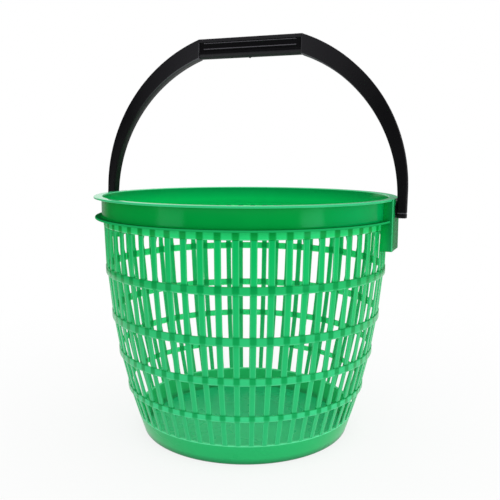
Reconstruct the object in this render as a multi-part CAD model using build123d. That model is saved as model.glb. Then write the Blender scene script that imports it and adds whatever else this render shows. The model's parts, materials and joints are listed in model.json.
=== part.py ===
from build123d import *
import os
from dataclasses import dataclass

# Round openwork harvest basket with a swing handle, in millimetres.
# The origin is the centre of the base on the ground, +Z is up, and the handle turns about an axis along X.

# Rim: a collar between two flanges
RIM_RADIUS = 165.0
RIM_REACH = 8.0
RIM_FLANGE = 2.0
COLLAR_HEIGHT = 21.4
COLLAR_WALL = 1.6
LEDGE_REACH = 7.2
LEDGE_FLANGE = 2.0

# Hoops, numbered from the top: depth, and how much smaller each is than the ring above it
HOOP_WALL = 2.0
HOOP_1_DEPTH = 8.2
HOOP_2_DEPTH = 8.3
HOOP_3_DEPTH = 8.4
HOOP_4_DEPTH = 7.5
HOOP_5_DEPTH = 6.2
HOOP_1_INSET = 1.7
HOOP_2_INSET = 1.1
HOOP_3_INSET = 5.4
HOOP_4_INSET = 6.6
HOOP_5_INSET = 9.0

# Windows: the open height of the wall under each hoop
WINDOW_1_HEIGHT = 42.4
WINDOW_2_HEIGHT = 40.7
WINDOW_3_HEIGHT = 32.8
WINDOW_4_HEIGHT = 33.3
WINDOW_5_HEIGHT = 28.2

# Ribs: an even row across the front and the back, and one in line with each socket, in a narrower bay
RIBS_PER_FACE = 29
SIDE_BAY = 4.6
RIB_SHARE = 0.4
RIB_WALL = 1.3
RIB_JOG = 5.0
STEP_OVER_HOOP = 0.65
STEP_UNDER_TOP_HOOP = 0.4

# Base band and floor
BASE_HEIGHT = 23.6
BASE_INSET = 10.4
BASE_DRAW = 7.5
BASE_WALL = 2.9
BASE_CORNER = 4.0
FOOT_WIDTH = 9.0
FLOOR_TOP = 3.5
FLOOR_WALL = 2.5

# Handle sockets: a flat-faced apron outside the wall at each end of the handle's axis
SOCKET_WIDTH = 36.0
SOCKET_DEPTH = 53.0
SOCKET_WALL = 2.6
SOCKET_PROUD = 0.7
PIVOT_DROP = 11.0

# Handle pivots: a stud with a split snap head in a hole through the socket's face
STUD_RADIUS = 4.0
STUD_CLEARANCE = 0.05
STUD_END_PLAY = 0.3
HUB_LIP = 4.6
HEAD_LIP = 1.4
HEAD_LENGTH = 3.0
HEAD_CHAMFER = 1.6
HEAD_SLOT = 1.6

# Handle arms, drawn upright with heights measured from the pivot
ARM_GAP = 1.3
ARM_FOOT = 9.1
ARM_THICKNESS = 9.3
ARM_DEPTH = 11.5
ARM_INNER_SPRING = 7.2
ARM_OUTER_SPRING = 18.2
ARM_EDGE = 1.2

# Handle grip: a web between a round bead and a cap, with two ridges along each side
GRIP_LENGTH = 119.6
GRIP_UNDERSIDE = 160.4
GRIP_HEIGHT = 21.5
GRIP_WEB = 7.4
GRIP_BEAD = 9.4
GRIP_CAP = 4.0
RIDGE_WIDTH = 1.6
RIDGE_PROUD = 0.9
RIDGE_END_GAP = 6.0
LOWER_RIDGE_HEIGHT = 10.0
UPPER_RIDGE_HEIGHT = 16.3
HANDLE_LEAN = 4.0

# Sizes that follow from the above
COLLAR_RADIUS = RIM_RADIUS - RIM_REACH
COLLAR_INSIDE = COLLAR_RADIUS - COLLAR_WALL
HOOP_DEPTHS = (HOOP_1_DEPTH, HOOP_2_DEPTH, HOOP_3_DEPTH, HOOP_4_DEPTH, HOOP_5_DEPTH)
HOOP_INSETS = (HOOP_1_INSET, HOOP_2_INSET, HOOP_3_INSET, HOOP_4_INSET, HOOP_5_INSET)
WINDOW_HEIGHTS = (WINDOW_1_HEIGHT, WINDOW_2_HEIGHT, WINDOW_3_HEIGHT, WINDOW_4_HEIGHT, WINDOW_5_HEIGHT)
RIB_PITCH = (180.0 - 2 * SIDE_BAY) / (RIBS_PER_FACE - 1)
RIB_ANGLE = RIB_PITCH * RIB_SHARE


@dataclass
class Hoop:
    """One hoop's section: a flat band outside the ribs."""

    foot: float
    depth: float
    radius: float

    @property
    def top(self):
        return self.foot + self.depth

    @property
    def back(self):
        """Inner radius of the hoop, which is the outer radius of the ribs behind it."""
        return self.radius - HOOP_WALL

    @property
    def inside(self):
        """Inner radius of the ribs at the hoop's lower edge."""
        return self.back - RIB_WALL


def stacked_hoops():
    """The hoops from the top down: heights stack up from the base, radii step in from the collar."""
    feet = []
    height = BASE_HEIGHT
    for window, depth in zip(reversed(WINDOW_HEIGHTS), reversed(HOOP_DEPTHS)):
        feet.append(height + window)
        height += window + depth
    hoops = []
    radius = COLLAR_RADIUS
    for foot, depth, inset in zip(reversed(feet), HOOP_DEPTHS, HOOP_INSETS):
        radius -= inset
        hoops.append(Hoop(foot, depth, radius))
    return hoops


HOOPS = stacked_hoops()
LEDGE_UNDER = HOOPS[0].top
LEDGE_TOP = LEDGE_UNDER + LEDGE_FLANGE
RIM_TOP = LEDGE_TOP + COLLAR_HEIGHT
FLANGE_UNDER = RIM_TOP - RIM_FLANGE
LEDGE_RADIUS = COLLAR_RADIUS + LEDGE_REACH
BASE_TOP_RADIUS = HOOPS[-1].radius - BASE_INSET
BASE_FOOT_RADIUS = BASE_TOP_RADIUS - BASE_DRAW
FLOOR_RADIUS = BASE_FOOT_RADIUS - FOOT_WIDTH
PIVOT_HEIGHT = RIM_TOP - PIVOT_DROP
SOCKET_FACE = RIM_RADIUS + SOCKET_PROUD
SOCKET_BACK = SOCKET_FACE - SOCKET_WALL
SOCKET_FOOT = RIM_TOP - SOCKET_DEPTH
ARM_INNER = SOCKET_FACE + ARM_GAP
ARM_OUTER = ARM_INNER + ARM_THICKNESS
GRIP_TOP = GRIP_UNDERSIDE + GRIP_HEIGHT


def turned(points, angle=360.0):
    """A solid turned about Z from a closed outline of (radius, height) points, centred on +X."""
    outline = Plane.XZ * make_face(Polyline(*points, close=True))
    return Rot(0, 0, -angle / 2) * revolve(outline, Axis.Z, angle)


def block(low, high):
    """A box from its low corner to its high corner."""
    size = [b - a for a, b in zip(low, high)]
    centre = [(a + b) / 2 for a, b in zip(low, high)]
    return Pos(*centre) * Box(*size)


def mirrored(solid):
    """The left-hand copy of a right-hand solid."""
    return mirror(solid, Plane.YZ)


def top_flange():
    """Flat flange round the top of the collar."""
    return turned([
        (RIM_RADIUS, RIM_TOP),
        (RIM_RADIUS, FLANGE_UNDER),
        (COLLAR_RADIUS, FLANGE_UNDER),
        (COLLAR_RADIUS, RIM_TOP),
    ])


def collar():
    """Upright band between the flanges."""
    return turned([
        (COLLAR_RADIUS, RIM_TOP),
        (COLLAR_RADIUS, LEDGE_TOP),
        (COLLAR_INSIDE, LEDGE_TOP),
        (COLLAR_INSIDE, RIM_TOP),
    ])


def lower_flange():
    """Flat flange under the collar, reaching in over the tops of the ribs and notched inside the sockets."""
    ring = turned([
        (LEDGE_RADIUS, LEDGE_TOP),
        (LEDGE_RADIUS, LEDGE_UNDER),
        (HOOPS[0].inside, LEDGE_UNDER),
        (HOOPS[0].inside, LEDGE_TOP),
    ])
    half = SOCKET_WIDTH / 2 - SOCKET_WALL
    across = block((-2 * RIM_RADIUS, -half, 0), (2 * RIM_RADIUS, half, 2 * RIM_TOP))
    return ring - (across - Cylinder(COLLAR_RADIUS, 4 * RIM_TOP))


def hoop_ring(hoop):
    """One hoop."""
    return turned([
        (hoop.radius, hoop.foot),
        (hoop.radius, hoop.top),
        (hoop.back, hoop.top),
        (hoop.back, hoop.foot),
    ])


def rib_outline(tier):
    """Side view of one rib of a tier: a thin strip that jogs in behind each hoop that crosses it."""
    upper = HOOPS[tier]
    outer = [(upper.back, upper.foot)]
    inner = [(upper.inside, upper.foot)]
    if tier == 0:
        under = upper.radius - STEP_UNDER_TOP_HOOP
        outer = [(upper.back, LEDGE_UNDER), *outer, (under, upper.foot)]
        inner = [(upper.inside, LEDGE_UNDER), *inner, (under - RIB_WALL, upper.foot - RIB_JOG)]
    if tier + 1 == len(HOOPS):
        outer.append((BASE_TOP_RADIUS, BASE_HEIGHT))
        inner.append((BASE_TOP_RADIUS - RIB_WALL, BASE_HEIGHT))
    else:
        lower = HOOPS[tier + 1]
        over = lower.radius - STEP_OVER_HOOP
        outer += [(over, lower.top), (lower.back, lower.top), (lower.back, lower.foot)]
        inner += [(over - RIB_WALL, lower.top + RIB_JOG), (lower.inside, lower.top), (lower.inside, lower.foot)]
    return outer + inner[::-1]


def rib_tier(tier):
    """A ring of upright ribs: a row across the front, a row across the back and one rib at each end of X."""
    rib = turned(rib_outline(tier), RIB_ANGLE)
    row = [RIB_PITCH * (i - (RIBS_PER_FACE - 1) / 2) for i in range(RIBS_PER_FACE)]
    angles = [middle + turn for middle in (-90, 90) for turn in row]
    return Compound([Rot(0, 0, angle) * rib for angle in (0, 180, *angles)])


def base():
    """Plain tapered band on a rounded foot that turns in to the floor, as its wall and its foot ring."""
    taper = BASE_DRAW / BASE_HEIGHT
    points = [
        (BASE_TOP_RADIUS, BASE_HEIGHT),
        (BASE_FOOT_RADIUS, 0),
        (FLOOR_RADIUS, 0),
        (FLOOR_RADIUS, FLOOR_TOP),
        (BASE_FOOT_RADIUS - BASE_WALL + taper * FLOOR_TOP, FLOOR_TOP),
        (BASE_TOP_RADIUS - BASE_WALL, BASE_HEIGHT),
    ]
    outline = make_face(Polyline(*points, close=True))
    corner = outline.vertices().sort_by_distance((BASE_FOOT_RADIUS, 0))[0]
    whole = revolve(Plane.XZ * fillet(corner, BASE_CORNER), Axis.Z)
    floor_level = Plane.XY.offset(FLOOR_TOP)
    return split(whole, floor_level, keep=Keep.TOP), split(whole, floor_level, keep=Keep.BOTTOM)


def floor():
    """Round floor, raised clear of the ground inside the foot."""
    return Pos(0, 0, FLOOR_TOP - FLOOR_WALL / 2) * Cylinder(FLOOR_RADIUS, FLOOR_WALL)


def wall_envelope():
    """All the space inside the outer faces of the rim and the top of the wall."""
    upper, lower = HOOPS[0], HOOPS[1]
    return turned([
        (0, lower.top),
        (lower.radius - STEP_OVER_HOOP, lower.top),
        (upper.radius - STEP_UNDER_TOP_HOOP, upper.foot),
        (upper.radius, upper.foot),
        (upper.radius, LEDGE_UNDER),
        (LEDGE_RADIUS, LEDGE_UNDER),
        (LEDGE_RADIUS, LEDGE_TOP),
        (COLLAR_RADIUS, LEDGE_TOP),
        (COLLAR_RADIUS, FLANGE_UNDER),
        (RIM_RADIUS, FLANGE_UNDER),
        (RIM_RADIUS, RIM_TOP),
        (0, RIM_TOP),
    ])


def socket():
    """The right-hand socket: an apron outside the wall, open below, with the pivot hole in its face."""
    half = SOCKET_WIDTH / 2
    shell = block((RIM_RADIUS / 2, -half, SOCKET_FOOT), (SOCKET_FACE, half, RIM_TOP))
    hollow_half = half - SOCKET_WALL
    hollow = block((0, -hollow_half, 0), (SOCKET_BACK, hollow_half, FLANGE_UNDER))
    hole = Rot(0, 90, 0) * Cylinder(STUD_RADIUS + STUD_CLEARANCE, 4 * SOCKET_WALL)
    return shell - hollow - wall_envelope() - Pos(SOCKET_FACE, 0, PIVOT_HEIGHT) * hole


def stud():
    """The right-hand pivot stud, turned about the handle's axis: hub, shank and split snap head."""
    hub_face = SOCKET_FACE + STUD_END_PLAY
    head_face = SOCKET_BACK - STUD_END_PLAY
    tip = head_face - HEAD_LENGTH
    head_radius = STUD_RADIUS + HEAD_LIP
    points = [
        (ARM_INNER, 0),
        (ARM_INNER, STUD_RADIUS + HUB_LIP),
        (hub_face, STUD_RADIUS + HUB_LIP),
        (hub_face, STUD_RADIUS),
        (head_face, STUD_RADIUS),
        (head_face, head_radius),
        (tip + HEAD_CHAMFER, head_radius),
        (tip, head_radius - HEAD_CHAMFER),
        (tip, 0),
    ]
    outline = Plane.XZ * make_face(Polyline(*points, close=True))
    slot = block((tip, -HEAD_SLOT / 2, -head_radius), (SOCKET_FACE, HEAD_SLOT / 2, head_radius))
    return Pos(0, 0, PIVOT_HEIGHT) * (revolve(outline, Axis.X) - slot)


def arm():
    """The right-hand arm: a straight foot that springs into two arcs and widens towards the grip."""
    inner_foot = (ARM_INNER, -ARM_FOOT)
    inner_spring = (ARM_INNER, ARM_INNER_SPRING)
    inner_end = (GRIP_LENGTH / 2, GRIP_UNDERSIDE)
    outer_end = (GRIP_LENGTH / 2, GRIP_TOP)
    outer_spring = (ARM_OUTER, ARM_OUTER_SPRING)
    outer_foot = (ARM_OUTER, -ARM_FOOT)
    outline = make_face([
        Line(inner_foot, inner_spring),
        TangentArc(inner_spring, inner_end, tangent=(0, 1)),
        Line(inner_end, outer_end),
        TangentArc(outer_spring, outer_end, tangent=(0, 1)),
        Line(outer_spring, outer_foot),
        Line(outer_foot, inner_foot),
    ])
    bar = extrude(Plane.XZ * outline, ARM_DEPTH / 2, both=True)
    return Pos(0, 0, PIVOT_HEIGHT) * chamfer(bar.edges().filter_by(GeomType.CIRCLE), ARM_EDGE)


def grip():
    """The straight grip, with its underside at the height where the arms end."""
    bead = Pos(0, GRIP_BEAD / 2) * Circle(GRIP_BEAD / 2)
    web = Pos(0, (GRIP_BEAD / 2 + GRIP_HEIGHT) / 2) * Rectangle(GRIP_WEB, GRIP_HEIGHT - GRIP_BEAD / 2)
    cap = Pos(0, GRIP_HEIGHT - GRIP_CAP / 2) * Rectangle(ARM_DEPTH, GRIP_CAP)
    bar = extrude(Plane.YZ * (bead + web + cap), GRIP_LENGTH / 2, both=True)
    ridge = Box(GRIP_LENGTH - 2 * RIDGE_END_GAP, GRIP_WEB + 2 * RIDGE_PROUD, RIDGE_WIDTH)
    bar += Pos(0, 0, LOWER_RIDGE_HEIGHT) * ridge
    bar += Pos(0, 0, UPPER_RIDGE_HEIGHT) * ridge
    return Pos(0, 0, PIVOT_HEIGHT + GRIP_UNDERSIDE) * bar


def leant(solid):
    """A solid of the upright handle, leant back about the pivots as the handle stands at rest."""
    return solid.rotate(Axis((0, 0, PIVOT_HEIGHT), (1, 0, 0)), -HANDLE_LEAN)


nodes = {"top_flange": top_flange(), "collar": collar(), "lower_flange": lower_flange(), "floor": floor()}
nodes["base_wall"], nodes["foot_ring"] = base()
for tier, hoop in enumerate(HOOPS):
    nodes[f"hoop_{tier + 1}"] = hoop_ring(hoop)
    nodes[f"rib_tier_{tier + 1}"] = rib_tier(tier)
nodes["socket_right"] = socket()
nodes["socket_left"] = mirrored(socket())
nodes["grip"] = leant(grip())
nodes["arm_right"] = leant(arm())
nodes["arm_left"] = leant(mirrored(arm()))
nodes["pivot_stud_right"] = leant(stud())
nodes["pivot_stud_left"] = leant(mirrored(stud()))

os.makedirs("parts", exist_ok=True)
for name, shape in nodes.items():
    export_step(shape, f"parts/{name}.step")
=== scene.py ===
import json
from math import atan2, cos, pi, radians, sin, tan

import bmesh
import bpy
from mathutils import Matrix, Vector


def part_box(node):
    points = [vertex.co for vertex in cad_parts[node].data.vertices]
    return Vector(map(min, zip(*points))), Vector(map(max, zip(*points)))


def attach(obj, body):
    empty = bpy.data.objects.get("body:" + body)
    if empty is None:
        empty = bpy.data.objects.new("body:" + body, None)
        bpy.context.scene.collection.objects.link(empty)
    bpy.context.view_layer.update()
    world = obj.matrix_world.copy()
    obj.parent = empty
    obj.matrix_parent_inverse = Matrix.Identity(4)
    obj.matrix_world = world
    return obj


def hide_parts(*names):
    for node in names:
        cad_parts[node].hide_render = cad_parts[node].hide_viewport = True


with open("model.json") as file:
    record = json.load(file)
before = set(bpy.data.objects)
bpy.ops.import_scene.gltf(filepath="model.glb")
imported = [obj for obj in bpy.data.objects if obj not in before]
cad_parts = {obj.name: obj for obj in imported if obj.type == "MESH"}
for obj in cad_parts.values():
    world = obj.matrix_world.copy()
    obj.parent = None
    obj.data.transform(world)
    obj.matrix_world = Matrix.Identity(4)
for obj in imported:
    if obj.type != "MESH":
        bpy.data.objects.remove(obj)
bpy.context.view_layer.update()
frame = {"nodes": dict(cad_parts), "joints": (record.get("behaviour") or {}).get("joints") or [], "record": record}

bl_info = {
    "name": "Openwork Harvest Basket",
    "version": (1, 0, 0),
    "blender": (4, 5, 0),
    "location": "3D View > Sidebar > Basket",
    "description": "Dresses the packed harvest basket and its swing handle, and sets the studio",
    "category": "Object",
}

MM = 0.001
HOOP_NODES = [f"hoop_{number}" for number in range(1, 6)]
RIB_NODES = [f"rib_tier_{number}" for number in range(1, 6)]

# Points of a mesh that are closer than this become one.
WELD = 0.002 * MM
# Faces of a socket that turn by less than the first angle become one, and edges that turn by more
# than the second are rounded.
FLAT_TURN = radians(1)
EDGE_TURN = radians(40)
# Steps round a swept ring, up the curve of each arm and round the bead of the grip.
RING_STEPS = 240
ARM_STEPS = 40
BEAD_STEPS = 12
# How far a rib runs into a hoop, and the grip into the arms, so that no seam shows.
RIB_SUNK = 0.3 * MM
GRIP_SUNK = 0.5 * MM
# Painted highlight and sheen on the black handle, as grey: round the grip, where an arm joins the
# grip, and in the groove of a foot. The join takes up this part of an arm's last step.
HAND_SHEEN = 0.13
JOIN_GLINT = 0.4
GROOVE_GLINT = 0.8
JOIN_PART = 0.15
# Refraction of polypropylene.
PLASTIC_IOR = 1.49
# Bumps of a moulded skin, and the soft patches where handling dulls it.
PEEL_WIDTH = 1.5 * MM
PEEL_HEIGHT = 0.05 * MM
PATCH_WIDTH = 35 * MM
# How far the patches change the roughness, the green pigment and the black pigment.
DULLING = 0.05
CLOUDING = 0.05
MOTTLE = 0.2
# Tint of the green plastic's reflections.
SHEEN = "#8AFFE4"
# The table's paper as it lights the basket, and as it shows in the basket's shadow.
PAPER = "#E7E7E7"
SHADED_PAPER = "#F9F9F9"
WHITE = "#FFFFFF"
# Height over the table that the lamps face.
LAMP_AIM = 200 * MM


def linear(code):
    """A linear colour, with full alpha, from an sRGB hex code."""
    parts = [int(code[i:i + 2], 16) / 255 for i in (1, 3, 5)]
    return [p / 12.92 if p <= 0.04045 else ((p + 0.055) / 1.055) ** 2.4 for p in parts] + [1.0]


def length(name, description, millimetres):
    """A property for a length, with its default given in millimetres."""
    return bpy.props.FloatProperty(
        name=name, description=description, default=millimetres * MM, min=0, unit="LENGTH",
        precision=4)


def angle(name, description, degrees):
    """A property for an angle, with its default given in degrees."""
    return bpy.props.FloatProperty(
        name=name, description=description, default=radians(degrees), subtype="ANGLE")


def colour(name, description, code):
    """A property for a colour, with its default given as an sRGB hex code."""
    return bpy.props.FloatVectorProperty(
        name=name, description=description, default=linear(code), size=4, min=0, max=1,
        subtype="COLOR")


class BasketSizes(bpy.types.PropertyGroup):
    """Sizes of the basket's moulded detail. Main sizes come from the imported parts."""

    ribs_per_face: bpy.props.IntProperty(
        name="Ribs per face", description="Evenly spaced ribs across the front, and the back",
        default=29, min=3)
    side_bay: angle("Side bay", "Angle between the rib under a socket and the next one", 4.6)
    rib_share: bpy.props.FloatProperty(
        name="Rib share", description="Part of the pitch that a rib fills", default=0.4,
        subtype="FACTOR")
    rib_wall: length("Rib wall", "Thickness of a rib", 1.3)
    rib_jog: length("Rib jog", "Height over which a rib steps back behind a hoop", 5.0)
    rib_step: length("Rib step", "How far a hoop stands out from the rib above it", 0.65)
    rib_draw: length("Rib draw", "How far a rib leans in over its first jog", 0.2)
    hoop_wall: length("Hoop wall", "Thickness of a hoop", 2.0)
    rim_flange: length("Top flange", "Thickness of the flange round the top", 2.0)
    rim_corner: length("Rim corner", "Rounding of the collar's inner top edge", 1.44)
    collar_wall: length("Collar wall", "Thickness of the collar", 1.6)
    ledge_end: length("Ledge end", "How far inside a socket's cheek the lower flange ends", 1.3)
    base_draw: length("Base draw", "How much smaller the base is at its foot than at its top", 7.5)
    base_wall: length("Base wall", "Thickness of the base band", 2.9)
    base_corner: length("Base corner", "Rounding of the base at the ground", 4.0)
    floor_wall: length("Floor wall", "Thickness of the floor", 2.5)
    floor_corner: length("Floor corner", "Rounding between the floor and the base band", 2.0)
    foot_corner: length("Foot corner", "Rounding between the floor and the foot ring", 0.5)
    edge: length("Moulded edge", "Rounding of the basket's edges", 0.6)
    hoop_edge: length("Hoop edge", "Rounding of a hoop's lower edge", 1.2)


class HandleSizes(bpy.types.PropertyGroup):
    """Sizes of the handle. Its length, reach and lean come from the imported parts."""

    arm_depth: length("Arm depth", "Depth of the arms from front to back", 11.5)
    arm_thickness: length("Arm thickness", "Thickness of the arms at the pivots", 9.3)
    arm_foot: length("Arm foot", "How far the arms reach below the pivots", 9.1)
    arm_edge: length("Arm edge", "Rounding of the arms' edges", 1.3)
    inner_spring: length("Inner spring", "Height over the pivot where the inner curve starts", 7.2)
    outer_spring: length("Outer spring", "Height over the pivot where the outer curve starts", 18.2)
    foot_edge: length("Foot edge", "Rounding of the end of each arm's foot", 0.8)
    foot_turn: length("Foot turn", "Inset halfway round the end of each arm's foot", 0.25)
    groove: length("Foot groove", "Depth of the groove round each arm's foot", 0.4)
    groove_top: length("Groove top", "How far below the pivots the groove starts", 3.4)
    groove_height: length("Groove height", "Height of the groove", 1.3)
    groove_slope: length("Groove slope", "Height of each slanted side of the groove", 0.3)
    grip_underside: length("Grip underside", "Height of the grip's underside over the pivot", 160.4)
    grip_height: length("Grip height", "Height of the grip", 21.5)
    grip_web: length("Grip web", "Thickness of the grip between its bead and its cap", 7.4)
    grip_bead: length("Grip bead", "Diameter of the round bead under the grip", 9.4)
    grip_cap: length("Grip cap", "Height of the cap along the top of the grip", 4.0)
    grip_corner: length("Grip corner", "Rounding of the cap's lower edges", 0.4)
    lower_ridge: length("Lower ridge", "Height of the lower ridge over the underside", 10.0)
    upper_ridge: length("Upper ridge", "Height of the upper ridge over the underside", 16.3)
    ridge_width: length("Ridge width", "Width of each ridge", 1.6)
    ridge_proud: length("Ridge height", "How far each ridge stands out", 0.9)
    ridge_gap: length("Ridge gap", "How far each ridge stops short of the arms", 6.0)
    ridge_edge: length("Ridge edge", "Rounding of the ridges' edges", 0.6)
    gate_tip: length("Gate tip", "Radius of the mould's gate at its lower end", 1.1)
    gate_root: length("Gate root", "Radius of the mould's gate at the grip", 1.7)
    gate_height: length("Gate height", "Height of the mould's gate", 1.6)
    gate_lift: length("Gate lift", "Height of the gate's middle over the underside", 0.2)


class BasketColours(bpy.types.PropertyGroup):
    """Colours of the two plastics, with painted light and shade in many of them."""

    # Painted light: hoops are paler than ribs and crossings darkest, for light coming through the cloudy plastic;
    # the top hoop is painted brightest, lit through under the rim.
    strip_top_lit: colour("Top hoop", "Top hoop between two ribs, under the rim", "#28E27C")
    strip_high: colour("Upper hoop", "Hoop between two ribs, at the top of the wall", "#1EB864")
    strip_low: colour("Lower hoop", "Hoop between two ribs, at the foot of the wall", "#42D68E")
    rib_high: colour("Upper rib", "Rib at the top of the wall", "#06BA5E")
    rib_middle: colour("Middle rib", "Rib halfway up the wall", "#27BD6E")
    rib_low: colour("Lower rib", "Rib at the foot of the wall", "#31C278")
    crossing_top: colour("Top crossing", "Where a rib and the top hoop double the wall", "#00A642")
    crossing_high: colour("Upper crossing", "Where a rib crosses an upper hoop", "#009846")
    crossing_low: colour("Lower crossing", "Where a rib crosses a hoop at the foot", "#18A85A")
    # Painted highlight: pale lines along the moulded edges of the wall and the sill of the base.
    edge: colour("Moulded edge", "Thin plastic along the edges of wall and base", "#62E6A2")
    collar: colour("Collar", "Outer side of the collar, in the shade of its flanges", "#009C3E")
    # Painted light: the collar's outer side is paler by the right socket, as if lit from the right.
    collar_lit_side: colour("Side of the collar", "Outer side by the right socket", "#00A654")
    inside: colour("Inside of the collar", "Inner side of the collar, lit through", "#00C45C")
    # Painted shade: the collar's inner side is darker behind the top flange.
    inside_top_shade: colour("Inside of the rim", "Inner side behind the top flange", "#00984A")
    # Painted highlight: the top flange's lip is painted pale.
    lip: colour("Top lip", "Thin plastic at the edge of the top flange", "#50E49A")
    lip_edge: colour("Top edge", "Upright edge of the top flange", "#2EBE78")
    ledge: colour("Lower lip", "Thin plastic at the edge of the lower flange", "#1CA85C")
    ledge_top: colour("Lower flange", "Lower flange in the shade of the top one", "#0E6E38")
    socket: colour("Socket", "Outer face of the handle's sockets", "#0A8C46")
    socket_root: colour("Socket root", "Sockets where they join the collar", "#00AA48")
    base: colour("Base", "Base band", "#2ABE6E")
    # Painted shade: the base band darkens towards the ground.
    base_foot_shade: colour("Foot", "Foot of the base band, near the ground", "#267F4E")
    # Painted light: the floor is paler towards the front, where light falls in.
    floor: colour("Floor", "Floor inside the basket, towards the back", "#26BE7C")
    floor_lit_front: colour("Front of the floor", "Floor towards the front", "#3CD08A")
    handle: colour("Handle", "Black plastic of the handle", "#0F0E11")
    # Painted highlight: grey where light glints along the handle's edges and on its grip.
    rubbed: colour("Rubbed edge", "Black plastic along rubbed edges", "#5E5C62")
    # Painted light: inner faces are painted brighter, as if lit through the plastic.
    hoop_glow: bpy.props.FloatProperty(
        name="Hoop glow", description="How much brighter a hoop looks inside, lit through",
        default=1.6, min=1)
    rib_glow: bpy.props.FloatProperty(
        name="Rib glow", description="How much brighter a rib or the base looks inside",
        default=1.1, min=1)


class StudioSettings(bpy.types.PropertyGroup):
    """Camera and light."""

    camera_place: bpy.props.FloatVectorProperty(
        name="Camera", description="Place of the camera", default=(0.2760, -0.6936, 0.3098),
        subtype="XYZ", unit="LENGTH")
    camera_heading: angle("Heading", "Camera's turn about the vertical", 21.337)
    camera_pitch: angle("Pitch", "How far the camera looks down", 8.329)
    camera_roll: angle("Roll", "Camera's turn about its own line of sight", 0.178)
    lens: bpy.props.FloatProperty(
        name="Lens", description="Focal length on a 36 mm sensor", default=48.31, unit="CAMERA")
    bright_side: angle("Bright side", "Where the room is brightest, to the right of the front", 48)
    room_bright: bpy.props.FloatProperty(
        name="Bright room light", description="Light from the bright side of the room",
        default=1.23, min=0)
    room_dim: bpy.props.FloatProperty(
        name="Dim room light", description="Light from the side across from the bright one",
        default=0.5, min=0)
    floor_radius: length("Floor radius", "Radius of the white table top", 1100)


def add_node(tree, kind, inputs=None, **settings):
    """Adds a node with its settings. Each input gets a value, or a socket or node to link to.

    An input is found among the live ones by name or number. A node gives its first live output.
    """
    node = tree.nodes.new(kind)
    for key, value in settings.items():
        setattr(node, key, value)
    live = [socket for socket in node.inputs if socket.enabled]
    for key, value in (inputs or {}).items():
        socket = live[key] if isinstance(key, int) else next(s for s in live if s.name == key)
        if isinstance(value, bpy.types.Node):
            value = next(output for output in value.outputs if output.enabled)
        if isinstance(value, bpy.types.NodeSocket):
            tree.links.new(value, socket)
        else:
            socket.default_value = value
    return node


def rounded(corners, steps=3):
    """An outline through (x, y, radius) corners, each rounded by that radius."""
    outline = []
    for i, (x, y, radius) in enumerate(corners):
        here = Vector((x, y))
        if radius <= 0:
            outline.append(here)
            continue
        back = (Vector(corners[i - 1][:2]) - here).normalized()
        ahead = (Vector(corners[(i + 1) % len(corners)][:2]) - here).normalized()
        half = back.angle(ahead) / 2
        centre = here + (back + ahead).normalized() * (radius / sin(half))
        start = here + back * (radius / tan(half)) - centre
        end = here + ahead * (radius / tan(half)) - centre
        for step in range(steps + 1):
            outline.append(centre + start.lerp(end, step / steps).normalized() * radius)
    return outline


def loft(bm, rings):
    """Skins a row of rings of vertices and closes both ends."""
    for lower, upper in zip(rings, rings[1:]):
        for i in range(len(lower)):
            bm.faces.new((lower[i - 1], lower[i], upper[i], upper[i - 1]))
    bm.faces.new(rings[0])
    bm.faces.new(rings[-1])


def new_object(name, data):
    """A new object at the origin, linked into the scene."""
    made = bpy.data.objects.new(name, data)
    bpy.context.scene.collection.objects.link(made)
    return made


def mesh_from(bm, name):
    """A mesh from a bmesh, closed at its seams and poles and with its faces outwards."""
    bmesh.ops.remove_doubles(bm, verts=bm.verts, dist=WELD)
    bmesh.ops.dissolve_degenerate(bm, edges=bm.edges, dist=WELD)
    bmesh.ops.recalc_face_normals(bm, faces=bm.faces)
    mesh = bpy.data.meshes.new(name)
    bm.to_mesh(mesh)
    bm.free()
    return mesh


def made_plain(made):
    """Turns what an object's modifiers make into its own plain mesh, and removes them."""
    graph = bpy.context.evaluated_depsgraph_get()
    result = bpy.data.meshes.new_from_object(made.evaluated_get(graph), depsgraph=graph)
    made.modifiers.clear()
    bm = bmesh.new()
    bm.from_mesh(result)
    finishes = list(result.materials)
    made.data = mesh_from(bm, made.name)
    for finish in finishes:
        made.data.materials.append(finish)
    bpy.data.meshes.remove(result)
    return made


def settled(piece, body, nodes, material=None, crease=35):
    """Shades a finished piece, sets it on its body and hides the imported parts it stands for."""
    if material:
        piece.data.materials.clear()
        piece.data.materials.append(material)
    piece.data.shade_smooth()
    piece.data.set_sharp_from_angle(angle=radians(crease))
    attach(piece, body)
    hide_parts(*nodes)


def ring_of(node):
    """Foot, top and outer radius of a ring, from its box along Y, where no socket notches it."""
    low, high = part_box(node)
    return low[2], high[2], high[1]


def new_tree(name, inputs):
    """An empty Geometry Nodes tree with named inputs and one geometry output."""
    tree = bpy.data.node_groups.new(name, "GeometryNodeTree")
    tree.is_modifier = True
    for title, kind in inputs.items():
        tree.interface.new_socket(title, in_out="INPUT", socket_type="NodeSocket" + kind)
    tree.interface.new_socket("Geometry", in_out="OUTPUT", socket_type="NodeSocketGeometry")
    return tree


def run_tree(name, tree, values):
    """A new piece made by a tree with these values for its named inputs, as a plain mesh."""
    made = new_object(name, bpy.data.meshes.new(name))
    modifier = made.modifiers.new(tree.name, "NODES")
    modifier.node_group = tree
    for socket in tree.interface.items_tree:
        if socket.in_out == "INPUT":
            modifier[socket.identifier] = values[socket.name]
    return made_plain(made)


def with_half_turn(tree, geometry):
    """Geometry together with a copy that is turned half round Z."""
    turned = add_node(tree, "GeometryNodeTransform", {"Geometry": geometry, "Rotation": (0, 0, pi)})
    both = add_node(tree, "GeometryNodeJoinGeometry", {"Geometry": geometry})
    tree.links.new(turned.outputs[0], both.inputs["Geometry"])
    return both


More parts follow.
